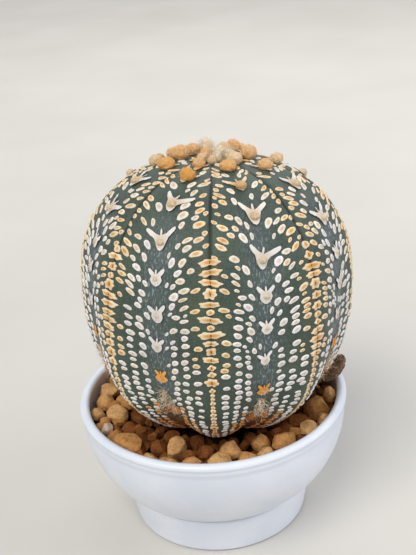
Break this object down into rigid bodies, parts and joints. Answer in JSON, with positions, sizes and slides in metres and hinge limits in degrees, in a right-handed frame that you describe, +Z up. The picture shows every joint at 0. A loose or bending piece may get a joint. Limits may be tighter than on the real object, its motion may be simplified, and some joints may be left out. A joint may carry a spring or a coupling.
{
  "type": "potted round cactus",
  "caption": "Round ribbed cactus with rows of pale woolly flecks, standing in a shallow white bowl pot topped with tan stones.",
  "frame": {"origin": "centre of the pot's flat underside, on the surface that it stands on", "axes": "+Z up along the pot's axis; -Y is the front that the best view shows; +X is to the right of that front"},
  "size_m": [0.092, 0.09, 0.1278],
  "materials": {
    "white_plastic": "glossy moulded white plastic",
    "cactus_skin": null,
    "baked_clay_grain": "matte porous tan clay grain",
    "grey_brown_rock": "rough porous grey-brown rock",
    "potting_soil": null
  },
  "bodies": {
    "root": {"pot": "white_plastic", "potting_soil": "potting_soil", "cactus_body": "cactus_skin", "big_rock": "grey_brown_rock", "stone_01": "baked_clay_grain", "stone_02": "baked_clay_grain", "stone_03": "baked_clay_grain", "stone_04": "baked_clay_grain", "stone_05": "baked_clay_grain", "stone_06": "baked_clay_grain", "stone_07": "baked_clay_grain", "stone_08": "baked_clay_grain", "stone_09": "baked_clay_grain", "stone_10": "baked_clay_grain", "stone_11": "baked_clay_grain", "stone_12": "baked_clay_grain", "stone_13": "baked_clay_grain", "stone_14": "baked_clay_grain", "stone_15": "baked_clay_grain", "stone_16": "baked_clay_grain", "stone_17": "baked_clay_grain", "stone_18": "baked_clay_grain", "stone_19": "baked_clay_grain", "stone_20": "baked_clay_grain", "stone_21": "baked_clay_grain", "stone_22": "baked_clay_grain", "stone_23": "baked_clay_grain", "stone_24": "baked_clay_grain", "stone_25": "baked_clay_grain", "stone_26": "baked_clay_grain", "stone_27": "baked_clay_grain", "stone_28": "baked_clay_grain", "stone_29": "baked_clay_grain", "stone_30": "baked_clay_grain", "stone_31": "baked_clay_grain", "stone_32": "baked_clay_grain", "stone_33": "baked_clay_grain", "stone_34": "baked_clay_grain", "stone_35": "baked_clay_grain", "stone_36": "baked_clay_grain", "stone_37": "baked_clay_grain", "stone_38": "baked_clay_grain", "stone_39": "baked_clay_grain", "stone_40": "baked_clay_grain", "stone_41": "baked_clay_grain", "stone_42": "baked_clay_grain", "stone_43": "baked_clay_grain", "stone_44": "baked_clay_grain", "stone_45": "baked_clay_grain", "stone_46": "baked_clay_grain", "stone_47": "baked_clay_grain", "stone_48": "baked_clay_grain", "stone_49": "baked_clay_grain"}
  },
  "joints": []
}
